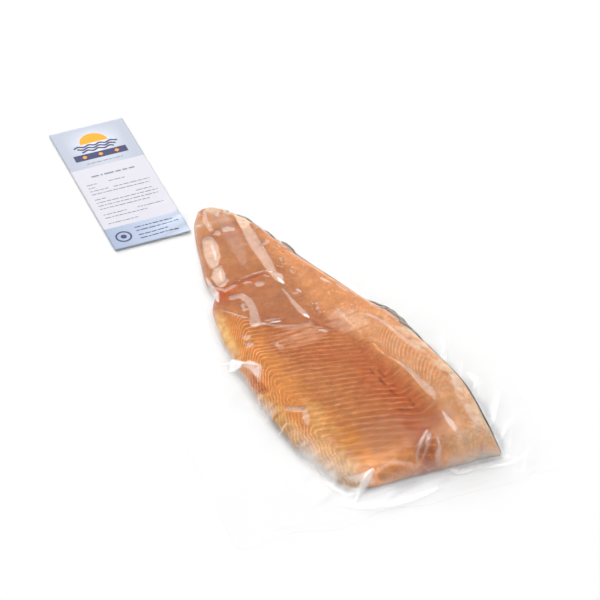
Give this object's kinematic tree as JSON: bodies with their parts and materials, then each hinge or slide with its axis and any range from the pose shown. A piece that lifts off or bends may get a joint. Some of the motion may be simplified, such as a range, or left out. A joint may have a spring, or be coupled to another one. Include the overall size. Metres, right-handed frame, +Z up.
{
  "type": "vacuum-packed trout fillet",
  "caption": "Skin-on trout fillet sealed flesh side up in a clear flat vacuum pouch, with a stuck-on paper label beside the tail.",
  "frame": {"origin": "middle of the pouch's footprint, on the surface that it lies on", "axes": "+X along the pouch from the tail to the head cut, +Y across it towards the back of the fish, +Z up from the surface"},
  "size_m": [0.43, 0.204, 0.0226],
  "materials": {
    "trout_flesh": "moist raw fish under tight clear film",
    "label_paper": "smooth printed label paper",
    "trout_skin": "silver-grey scaled skin",
    "clear_film": "clear glossy pouch film"
  },
  "bodies": {
    "root": {"vacuum_pouch": "trout_flesh", "label": "label_paper"}
  },
  "joints": []
}
